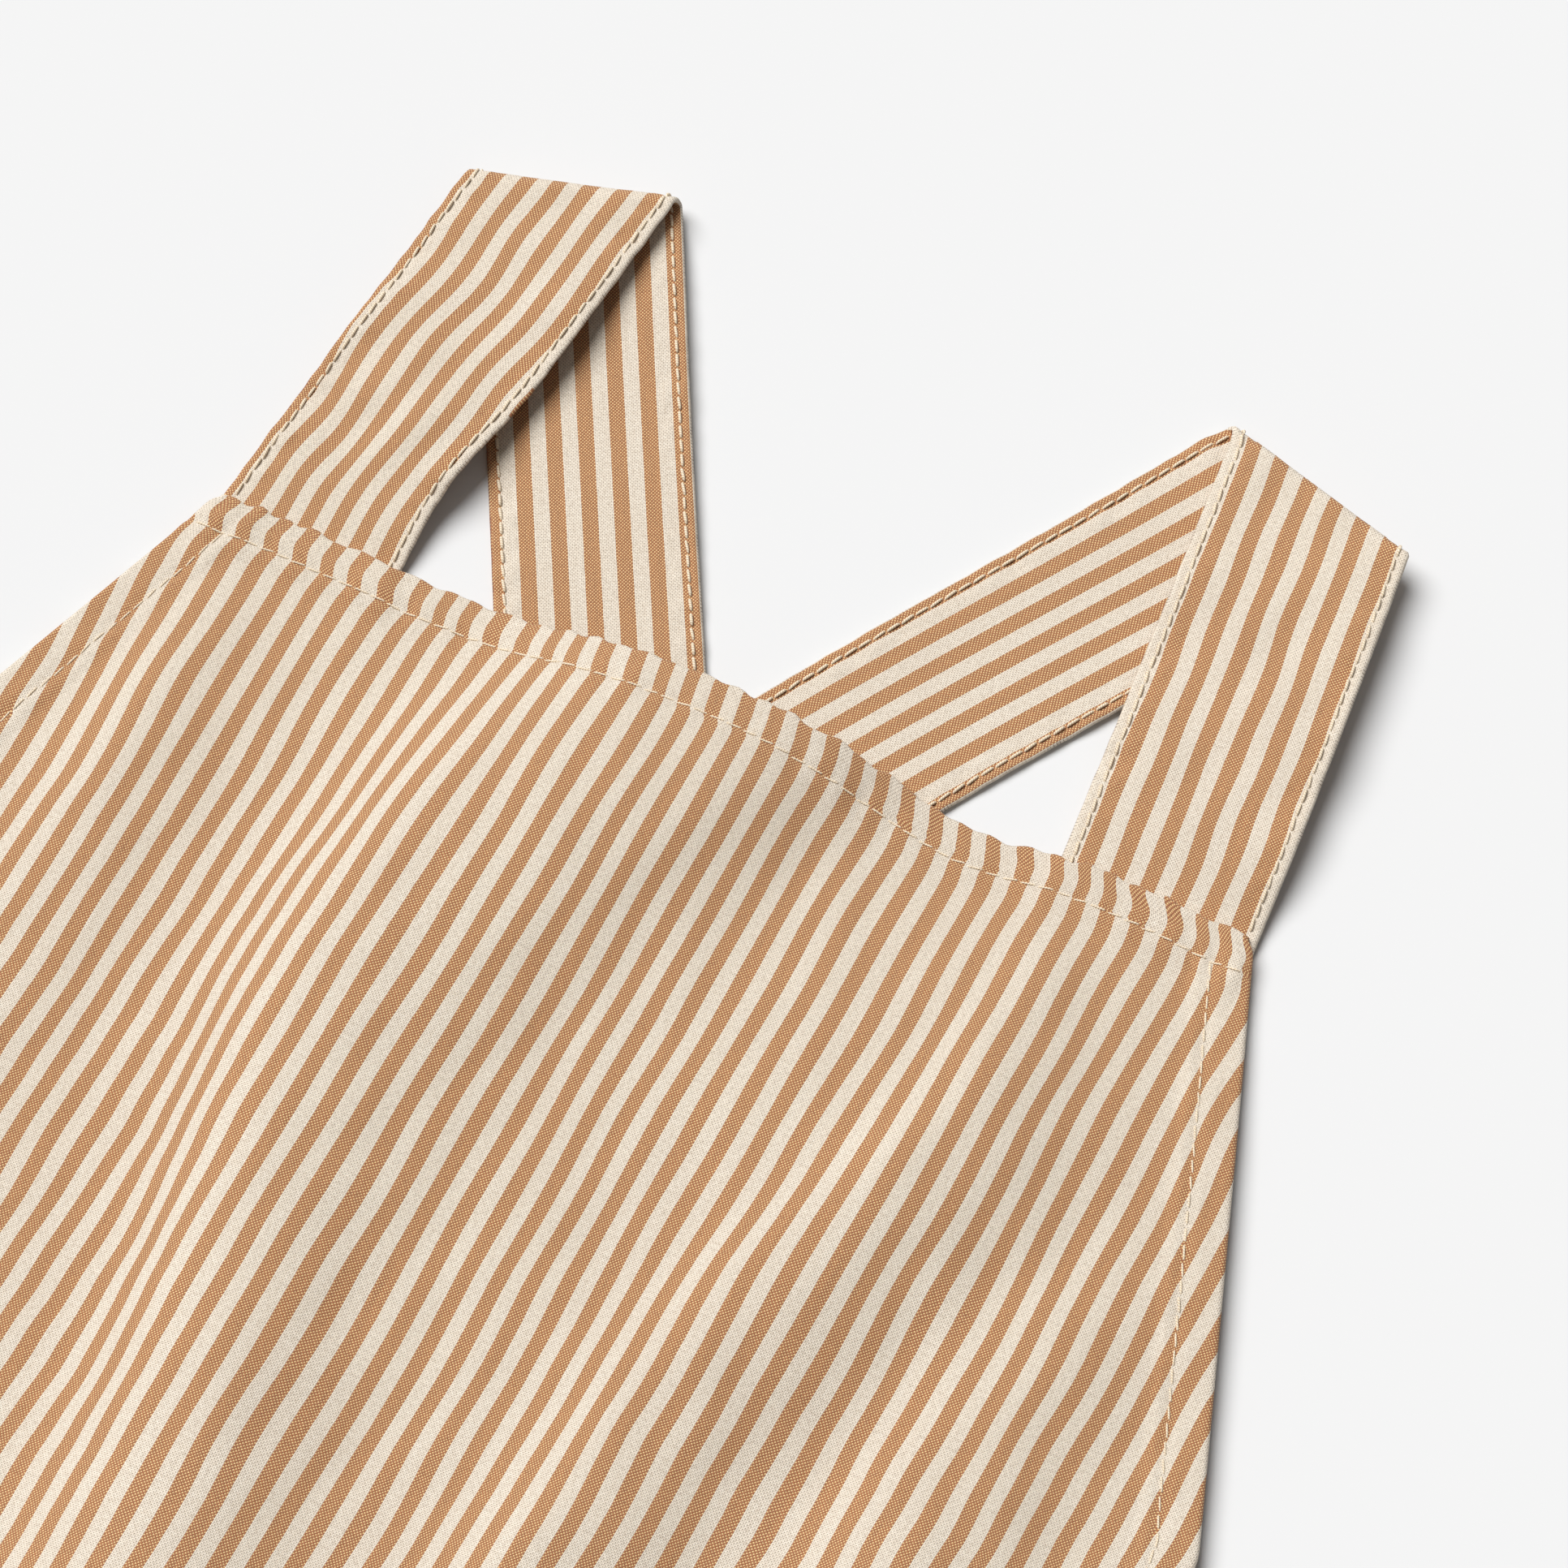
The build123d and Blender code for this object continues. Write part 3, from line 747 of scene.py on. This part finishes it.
def hem_bands():
    """The turned layers that lie under the front's edges."""
    thick = 0.95
    gap = CLOTH / 2 + thick / 2 + 0.02
    made = {}
    # top
    depth = spread((2.1, HEM_DEPTH, 0.9))
    u = np.linspace(-1, 1, 150)[None, :] * (half_width(-depth)[:, None] - 2.2)
    v = -depth[:, None] + 0 * u
    points = stack(u, v + top_edge_shift(u, v), front_height(u, v) - gap)
    made["top_hem"] = cloth("top_hem", points, stack(u, v), thick, COTTON)
    # bottom
    up = spread((2.1, BOTTOM_DEPTH, 1.4))
    u = np.linspace(-1, 1, 150)[None, :] * (SIDE_FOOT[0] - 7.0) + 0 * up[:, None]
    v = -foot_line(u) + up[:, None]
    points = stack(u, v, front_height(u, v) - gap)
    made["bottom_hem"] = cloth("bottom_hem", points, stack(u, v), thick, COTTON)
    # armholes
    for name, way in (("left", -1), ("right", 1)):
        v = spread((-HEM_DEPTH - 0.6, UNDERARM[1] + 1, 2.0))[:, None]
        inset = spread((2.1, HEM_DEPTH, 1.0))[None, :]
        u = way * (half_width(v) - inset / edge_lean(v))
        v = v + 0 * u
        points = stack(u, v, front_height(u, v) - gap)
        made[name + "_armhole_hem"] = cloth(name + "_armhole_hem", points, stack(u, v), thick, COTTON)
    return made


# =====================================================================================
# the sides folded behind, and the back panels
# =====================================================================================

SIDE_LEAN = np.array(SIDE_FOOT) - np.array(UNDERARM)
SIDE_LEAN = SIDE_LEAN / np.hypot(*SIDE_LEAN)
BACK_Z = CLOTH / 2 + 0.06


def back_cut(u, v, way):
    """The flat cut's place of a point on a back panel: its mirror image over the side fold."""
    along = (way * u - UNDERARM[0]) * SIDE_LEAN[0] + (v - UNDERARM[1]) * SIDE_LEAN[1]
    off = (way * u - UNDERARM[0]) * SIDE_LEAN[1] - (v - UNDERARM[1]) * SIDE_LEAN[0]
    x = UNDERARM[0] + along * SIDE_LEAN[0] - off * SIDE_LEAN[1]
    y = UNDERARM[1] + along * SIDE_LEAN[1] + off * SIDE_LEAN[0]
    return stack(way * x + STRIPE_PHASE, y)


def side_line(v):
    """The side fold's outer edge."""
    return UNDERARM[0] + (UNDERARM[1] - v) * (-SIDE_LEAN[0] / SIDE_LEAN[1])


def back_top(u):
    """Height of the back panels' curved top edge."""
    xs, ys = arc_through((BACK_EDGE_TOP, BACK_CORNER_V), BACK_TOP_MIDDLE, UNDERARM, 40)
    return np.interp(np.abs(u), xs, ys)


def back_edge(v):
    """The back panels' free edge."""
    share = (BACK_CORNER_V - v) / (BACK_CORNER_V - SIDE_FOOT[1])
    return BACK_EDGE_TOP + (BACK_EDGE_FOOT - BACK_EDGE_TOP) * np.clip(share, 0, 1)


def side_folds():
    """The rolled folds where the skirt's sides turn behind."""
    made = {}
    for name, way in (("left", -1), ("right", 1)):
        v = spread((UNDERARM[1] + 2.0, SIDE_FOOT[1] + 0.6, 3.0))[:, None]
        edge = side_line(v)
        inner = edge - 1.6
        top = front_height(way * (inner - 1.5), v) - 0.05
        angle = np.linspace(-0.08, 1, 15)[None, :] * math.pi
        radius = (top - BACK_Z) / 2
        round_out = np.minimum(radius, 1.9) * np.sin(np.maximum(angle, 0))
        u = way * (inner + round_out - 5 * np.maximum(-angle, 0))
        z = BACK_Z + radius * (1 + np.cos(np.maximum(angle, 0)))
        v = v + 0 * u
        cut = stack(u + way * radius * angle * 0.9 + STRIPE_PHASE, v)
        made[name + "_side_fold"] = cloth(name + "_side_fold", stack(u, v, z), cut, CLOTH, COTTON)
    return made


def back_panels():
    """The skirt's sides, lying folded behind the front, with their hems."""
    made = {}
    for name, way in (("left", -1), ("right", 1)):
        def add(part, u, v, z, thickness, way=way, name=name):
            cut = back_cut(way * u, v, way)
            made[name + part] = cloth(name + part, stack(way * u, v, z + 0 * u), cut, thickness, COTTON)

        share = np.linspace(0, 1, 70)[None, :]
        drop = np.concatenate([
            np.linspace(0, 0.08, 9)[:-1], np.linspace(0.08, 0.93, 74)[:-1], np.linspace(0.93, 1, 8),
        ])[:, None]
        # the outer columns start at the underarm, the inner ones at the panel's top corner
        foot_v = SIDE_FOOT[1]
        outer_u = side_line(UNDERARM[1] + (foot_v - UNDERARM[1]) * drop) - 1.6
        inner_u = back_edge(BACK_CORNER_V + (foot_v - BACK_CORNER_V) * drop)
        u = inner_u + (outer_u - inner_u) * share
        start = back_top(u[0])[None, :]
        stop = -foot_line(u[-1])[None, :] + 1.0
        v = start + (stop - start) * drop
        outer = side_line(v) - 1.6
        inner = back_edge(v)
        u = inner + (outer - inner) * share
        z = BACK_Z + 0.10 * (1 + ripples(u, v, 40, 51 + way)) * ease(share * 8) * ease((1 - share) * 8)
        z = np.clip(z, BACK_Z, BACK_Z + 0.35)
        add("_back_panel", u, v, z, CLOTH)
        hem_z = BACK_Z + CLOTH / 2 + 0.5
        # top hem, clear of the strap's end
        share = np.linspace(0, 1, 34)[:, None]
        hu = 112 + (UNDERARM[0] - 5 - 112) * share
        inset = spread((0.6, HEM_DEPTH, 1.1))[None, :]
        hv = back_top(hu) - inset
        hu = hu + 0 * hv
        add("_back_top_hem", hu, hv, hem_z, BACK_HEM_THICK)
        # free edge
        hv = spread((STRAP_FOOT_V - 21, SIDE_FOOT[1] + BOTTOM_DEPTH - 8, 3.0))[:, None]
        hu = back_edge(hv) + inset
        hv = hv + 0 * hu
        add("_back_edge_hem", hu, hv, hem_z, BACK_HEM_THICK)

        def edge_row(t, way=way):
            v = STRAP_FOOT_V - 22 + (SIDE_FOOT[1] + 6 - STRAP_FOOT_V + 22) * t
            place = stack(way * (back_edge(v) + HEM_STITCH), v, hem_z + 0 * v)
            return place, stack(0 * v, 0 * v, 1 + 0 * v)
        row = stitch_row(edge_row, 268, lift=0.45, seed=61 + way)
        key = name + "_back_edge_stitching"
        made[key] = stitches(key, [row], THREAD)
        # foot
        share = np.linspace(0, 1, 60)[:, None]
        up = spread((0.6, BOTTOM_DEPTH, 1.6))[None, :]
        hu = BACK_EDGE_FOOT + 1.5 + (SIDE_FOOT[0] - 9 - BACK_EDGE_FOOT - 1.5) * share
        hv = -foot_line(hu) + 1.0 + up
        hu = hu + 0 * hv
        add("_back_bottom_hem", hu, hv, hem_z, BACK_HEM_THICK)
    return made


# =====================================================================================
# the straps
# =====================================================================================

RUN_UP = np.array([SHOULDER[0] - STRAP_ROOT_U, SHOULDER[1]])
RUN_UP = RUN_UP / np.hypot(*RUN_UP)
RUN_DOWN = np.array([-math.sin(CROSS_ANGLE), -math.cos(CROSS_ANGLE)])
FOLD_TILT = 0.088
SEEN_LEAN = (0.228, -0.473)                              # raised cloth is drawn in, towards the camera
FOLD_ALONG = (RUN_UP + RUN_DOWN) / np.hypot(*(RUN_UP + RUN_DOWN))
FOLD_OUT = np.array([-FOLD_ALONG[1], FOLD_ALONG[0]])
FOLD_OUT = FOLD_OUT if FOLD_OUT @ RUN_UP > 0 else -FOLD_OUT
OUTWARD = np.array([RUN_UP[1], -RUN_UP[0]])              # across the front run, away from the middle
START = np.array([STRAP_ROOT_U, 0.0]) + RUN_UP * (STRAP_START_V / RUN_UP[1])
FRONT_RUN = float(np.hypot(*(np.array(SHOULDER) - START)))
RETURN_RUN = (SHOULDER[1] - STRAP_FOOT_V) / math.cos(CROSS_ANGLE)
STRAP_LENGTH = FRONT_RUN + RETURN_RUN

# way: side of the apron. roll: radius of the shoulder fold. ripple, bow, drift: waves of the front run,
# bulge of its inner edge, inward lean of the return. over: lift where it passes over the other strap.
# sway, scale, phase, phase_under: place of the stripes on the two faces. The rest are heights of a
# strap's two edges: the front run by distance from its sewn end, the return by distance from the fold.
STRAPS = {
    "left": {
        "way": -1, "roll": 2.2, "ripple": 1.2, "bow": 3.0, "drift": 0.0, "over": 0.0,
        "sway": 0.9, "scale": 1.05, "phase": -3.3, "phase_under": 0.4,
        "front_inner": [(0, 1.2), (9, 1.5), (22, 4.4), (45, 8.2), (75, 8.6), (107, 7.6)],
        "front_outer": [(0, 1.2), (9, 1.5), (30, 3.2), (60, 4.6), (107, 5.2)],
        "return_inner": [(0, 2.6), (30, 3.6), (70, 3.0), (112, 1.6), (200, 1.3), (380, 1.3)],
        "return_outer": [(0, 1.6), (30, 1.2), (70, 0.9), (112, 1.0), (200, 1.3), (380, 1.3)],
    },
    "right": {
        "way": 1, "roll": 0.9, "ripple": 0.18, "bow": 0.0, "drift": 5.0, "over": 2.1,
        "sway": 0.15, "scale": 1.0, "phase": 3.3, "phase_under": -0.1,
        "front_inner": [(0, 1.2), (9, 1.4), (35, 3.8), (70, 5.2), (107, 5.0)],
        "front_outer": [(0, 1.2), (9, 2.0), (28, 6.4), (60, 8.8), (107, 8.2)],
        "return_inner": [(0, 1.4), (30, 0.9), (70, 0.9), (112, 1.0), (200, 1.3), (380, 1.3)],
        "return_outer": [(0, 6.4), (30, 2.6), (70, 1.4), (112, 1.1), (200, 1.3), (380, 1.3)],
    },
}


def strap_middle(strap):
    """A strap's middle surface as a function of s along it and c across it, from inner to outer edge."""
    way, roll = strap["way"], strap["roll"]

    def surface(s, c):
        s, c = np.broadcast_arrays(np.asarray(s, float), np.asarray(c, float))
        bow = strap["bow"] * bell((s - 32) / 20) * ease(0.5 - c / STRAP_WIDTH)
        plan = START + s[..., None] * RUN_UP + (c + bow)[..., None] * OUTWARD
        rel = plan - np.array(SHOULDER)
        beyond = rel @ FOLD_OUT + roll + STRAP_THICK / 2
        along = rel @ FOLD_ALONG
        angle = np.clip(beyond / roll, 0, math.pi)
        passed = np.maximum(beyond - math.pi * roll, 0)
        out = np.where(beyond < 0, beyond, roll * np.sin(angle) - passed)
        out = out - roll - STRAP_THICK / 2
        place = np.array(SHOULDER) + along[..., None] * FOLD_ALONG + out[..., None] * FOLD_OUT
        # the fold lies a little steeper than the runs would have it, and one return run leans inwards
        place = place - (FOLD_TILT * c * bell((s - FRONT_RUN) / 45))[..., None] * RUN_UP
        past = s - FRONT_RUN
        place[..., 0] -= strap["drift"] * (0.35 * ease(past / 15) + 0.65 * ease(past / 110)) * (
            1 - ease((past - 130) / 200))
        share = c / STRAP_WIDTH + 0.5
        before = np.minimum(s, FRONT_RUN + 8)
        after = np.maximum(s - FRONT_RUN, 0)
        front = (1 - share) * curve_through(before, strap["front_inner"]) + share * curve_through(
            before, strap["front_outer"])
        back = (1 - share) * curve_through(after, strap["return_inner"]) + share * curve_through(
            after, strap["return_outer"])
        # one strap passes over the other where they cross behind the bib
        crossing = (SHOULDER[0] / math.sin(CROSS_ANGLE))
        over = ease((after - crossing + 56) / 12) * (1 - ease((after - crossing - 50) / 14))
        back = back + strap["over"] * over
        waves = np.sin((s - 0.5 * c) * 2 * math.pi / 41 + 0.6)
        front = front + strap["ripple"] * waves * ease(s / 30 - 0.4) * ease((FRONT_RUN - s) / 30)
        front = front + 0.22 * ripples(s, c, 19, 71 + way) * ease(s / 30 - 0.4)
        z = np.where(beyond < 0, front, back + (front - back) * (1 + np.cos(angle)) / 2)
        lean = z + STRAP_THICK / 2
        return stack(way * place[..., 0] + SEEN_LEAN[0] * lean, place[..., 1] + SEEN_LEAN[1] * lean, z)
    return surface


def strap_frame(surface, s, c):
    """Points and upward normals of a strap's middle surface. Past the fold the same face looks down."""
    e = 0.35
    point = surface(s, c)
    along = surface(s + e, c) - surface(s - e, c)
    across = surface(s, c + e) - surface(s, c - e)
    normal = unit(np.cross(across, along))
    return point, normal


def strap_thickness(c):
    """Thicker over the allowances folded in at the edges, thinner at the stitch lines."""
    edge = STRAP_WIDTH / 2 - np.abs(c)
    inner = 0.18 * ease((edge - 9) / 3)
    groove = 0.34 * bell((edge - STRAP_STITCH) / 0.8)
    return STRAP_THICK - inner - groove - 0.3 * (1 - ease(edge / 1.2))


def strap_piece(name, strap):
    """A strap: a folded tape of cloth, with both faces' stripes."""
    surface = strap_middle(strap)
    fold = (FRONT_RUN - 12, FRONT_RUN + 16)
    s = spread((0, fold[0], 1.1), (fold[0], fold[1], 0.45), (fold[1], STRAP_LENGTH, 1.3))[:, None]
    half = STRAP_WIDTH / 2 - 0.5
    c = np.concatenate([
        spread((-half, -half + 5, 0.55))[:-1],
        spread((-half + 5, half - 5, 1.3))[:-1],
        spread((half - 5, half, 0.55)),
    ])[None, :]
    ripple = 0.12 * ripples(s, c * 0.2, 6, 75 + strap["way"]) * (np.abs(c) > half - 5)
    middle = surface(s, c)
    along = np.gradient(middle, axis=0)
    across = np.gradient(middle, axis=1)
    normal = unit(np.cross(across, along)) * strap["way"]
    middle = middle + normal * ripple[..., None]
    thick = strap_thickness(c) + 0 * s
    flat_s, flat_c = s + 0 * c, c + 0 * s
    sway = strap["sway"] * np.sin(flat_s * 2 * math.pi / 43 + 2.4) * ease(flat_s / 25 - 0.3) * ease(
        (FRONT_RUN - flat_s) / 40) + 0.1 * ripples(flat_s, flat_c, 14, 78)
    cut = stack((flat_c + STRAP_WIDTH / 2) * strap["scale"] - strap["phase"] + sway, flat_s)
    cut_under = stack(flat_c + STRAP_WIDTH / 2 - strap["phase_under"], flat_s + 3.1)
    return ribbon(name, middle, normal, thick, cut, cut_under)


def ribbon(name, middle, normal, thick, cut, cut_under):
    """Closed strap mesh: two faces and rounded edges. The first face looks up before the fold."""
    rows, columns = middle.shape[:2]
    over = middle + normal * thick[..., None] / 2
    under = middle - normal * thick[..., None] / 2
    outward = unit(np.gradient(middle, axis=1))
    ends = []
    for column, sign in ((0, -1), (-1, 1)):
        ends.append(middle[:, column] + sign * outward[:, column] * thick[:, column, None] * 0.42)
    n = rows * columns
    points = np.concatenate([over.reshape(-1, 3), under.reshape(-1, 3), ends[0], ends[1]])
    top = quads(rows, columns)
    low = top[:, ::-1] + n
    i = np.arange(rows - 1)
    left_top, right_top = i * columns, i * columns + columns - 1
    left_rim, right_rim = 2 * n + i, 2 * n + rows + i
    walls = [
        np.stack([left_top, left_top + columns, left_rim + 1, left_rim], -1),
        np.stack([left_rim, left_rim + 1, left_top + columns + n, left_top + n], -1),
        np.stack([right_top + columns, right_top, right_rim, right_rim + 1], -1),
        np.stack([right_rim + 1, right_rim, right_top + n, right_top + columns + n], -1),
    ]
    j = np.arange(columns - 1)
    walls.append(np.stack([j + 1, j, j + n, j + 1 + n], -1))
    last = (rows - 1) * columns + j
    walls.append(np.stack([last, last + 1, last + 1 + n, last + n], -1))
    corner_uv = [cut.reshape(-1, 2)[top], cut_under.reshape(-1, 2)[low - n]]
    flat = cut.reshape(-1, 2)
    for wall in walls:
        index = np.where(wall < n, wall, np.where(wall < 2 * n, wall - n, 0))
        rim_left = (wall >= 2 * n) & (wall < 2 * n + rows)
        rim_right = wall >= 2 * n + rows
        index = np.where(rim_left, (wall - 2 * n) * columns, index)
        index = np.where(rim_right, (wall - 2 * n - rows) * columns + columns - 1, index)
        corner_uv.append(flat[index])
    faces = np.concatenate([top, low, *walls])
    uv = np.concatenate([x.reshape(-1, 2) for x in corner_uv])
    a, b, c = points[faces[0, 0]], points[faces[0, 1]], points[faces[0, 2]]
    if np.dot(np.cross(b - a, c - b), normal[0, 0]) < 0:
        faces = faces[:, ::-1]
        uv = uv.reshape(-1, 4, 2)[:, ::-1].reshape(-1, 2)
    return make_object(name, points, faces, COTTON, uv)


def strap_stitches(name, strap):
    """Edge stitching on both faces of a strap."""
    surface = strap_middle(strap)
    rows = []
    for face in (1, -1):
        for edge in (-1, 1):
            c = edge * (STRAP_WIDTH / 2 - STRAP_STITCH)

            def line(t, c=c):
                s = 10 + (STRAP_LENGTH - 14) * t
                point, normal = strap_frame(surface, s, c + 0 * s)
                return point, normal * strap["way"]
            rows.append(stitch_row(
                line, STRAP_LENGTH - 14, length=3.3, side=face, radius=0.32, lift=STRAP_THICK / 2,
                seed=80 + face + 3 * edge,
            ))
    return stitches(name, rows, THREAD)


def strap_tack(name, strap):
    """The crossed box of stitches at a strap's lower end, seen from inside."""
    surface = strap_middle(strap)
    near, distant, reach = STRAP_LENGTH - 22, STRAP_LENGTH - 4, STRAP_WIDTH / 2 - 4
    corners = [(distant, reach), (distant, -reach), (near, -reach), (near, reach)]
    rows = []
    for a, b in ((0, 1), (1, 2), (2, 3), (3, 0), (0, 2), (1, 3)):
        (s0, c0), (s1, c1) = corners[a], corners[b]

        def line(t, s0=s0, s1=s1, c0=c0, c1=c1):
            point, normal = strap_frame(surface, s0 + (s1 - s0) * t, c0 + (c1 - c0) * t)
            return point, normal * strap["way"]
        size = math.hypot(s1 - s0, c1 - c0)
        rows.append(stitch_row(line, size, length=3.2, side=-1, lift=0.45, seed=90 + a))
    return stitches(name, rows, THREAD)


# =====================================================================================
# assembly
# =====================================================================================

def camera():
    """The camera of a close view from above, turned a little to the apron's right."""
    azimuth, elevation = math.radians(26.06), math.radians(62.3)
    distance = 1.001
    aim = np.array([16.5, -7.9, 0.0]) * MM + np.array([0, BIB_Y, 0])
    level = math.cos(elevation)
    back = np.array([math.sin(azimuth) * level, -math.cos(azimuth) * level, math.sin(elevation)])
    right = np.array([math.cos(azimuth), math.sin(azimuth), 0.0])
    up = np.cross(back, right)
    data = bpy.data.cameras.new("camera")
    data.sensor_width = 36.0
    data.lens = 119.25
    data.clip_start, data.clip_end = 0.05, 20.0
    obj = bpy.data.objects.new("camera", data)
    bpy.context.collection.objects.link(obj)
    place = aim + back * distance
    obj.matrix_world = Matrix((
        (right[0], up[0], back[0], place[0]), (right[1], up[1], back[1], place[1]),
        (right[2], up[2], back[2], place[2]), (0, 0, 0, 1),
    ))
    bpy.context.scene.camera = obj


def floor():
    """A plain pale floor."""
    n = Nodes("pale_floor")
    n.shader.inputs["Base Color"].default_value = (0.752, 0.752, 0.752, 1.0)
    n.shader.inputs["Roughness"].default_value = 0.95
    n.shader.inputs["Specular IOR Level"].default_value = 0.05
    size = 4000.0
    points = np.array([(-size, -size, 0), (size, -size, 0), (size, size, 0), (-size, size, 0)], float)
    obj = make_object("floor", points, np.array([[0, 1, 2, 3]]), n.material)


def far_light(name, direction, spread_angle, power):
    """A large soft source, far enough to light the floor evenly. direction points to it."""
    data = bpy.data.lights.new(name, "SUN")
    data.angle = spread_angle
    data.energy = power
    obj = bpy.data.objects.new(name, data)
    bpy.context.collection.objects.link(obj)
    back = unit(np.array(direction, float))
    side = unit(np.cross([0, 0, 1], back))
    up = np.cross(back, side)
    obj.matrix_world = Matrix((
        (side[0], up[0], back[0], 0), (side[1], up[1], back[1], 0), (side[2], up[2], back[2], 3.0),
        (0, 0, 0, 1),
    ))


def lights():
    """Soft studio light: a large source from the upper left of the view, and an even surround."""
    world = bpy.data.worlds.new("studio")
    world.use_nodes = True
    world.node_tree.nodes["Background"].inputs["Color"].default_value = (1.0, 1.0, 1.0, 1.0)
    world.node_tree.nodes["Background"].inputs["Strength"].default_value = 0.16
    bpy.context.scene.world = world
    far_light("key", (-0.46, 0.10, 0.88), math.radians(46), 3.76)
    view = bpy.context.scene.view_settings
    view.view_transform = "Standard"
    view.look = "None"


def assemble():
    """Makes every piece, attaches most of them to the apron's body, and hides the CAD parts they replace.
    """
    apron = {"front_panel": front_panel()}
    apron.update(hem_bands())
    apron.update(side_folds())
    apron.update(back_panels())
    apron.update(front_stitches())
    for name, piece in apron.items():
        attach(piece, "apron")
        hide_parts(name)
    for side, strap in STRAPS.items():
        ribbon_piece = strap_piece(side + "_strap", strap)
        thread_piece = strap_stitches(side + "_strap_stitches", strap)
        for piece in (ribbon_piece, thread_piece):
            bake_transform(piece)
        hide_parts(*(side + part for part in (
            "_strap_root", "_strap_front", "_shoulder_fold", "_strap_return", "_strap_back")))
        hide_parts(side + "_strap_front_stitching", side + "_strap_return_stitching")
        tack = strap_tack(side + "_strap_tack", strap)
        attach(tack, "apron")
        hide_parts(side + "_strap_tack")


camera()
lights()
floor()
assemble()
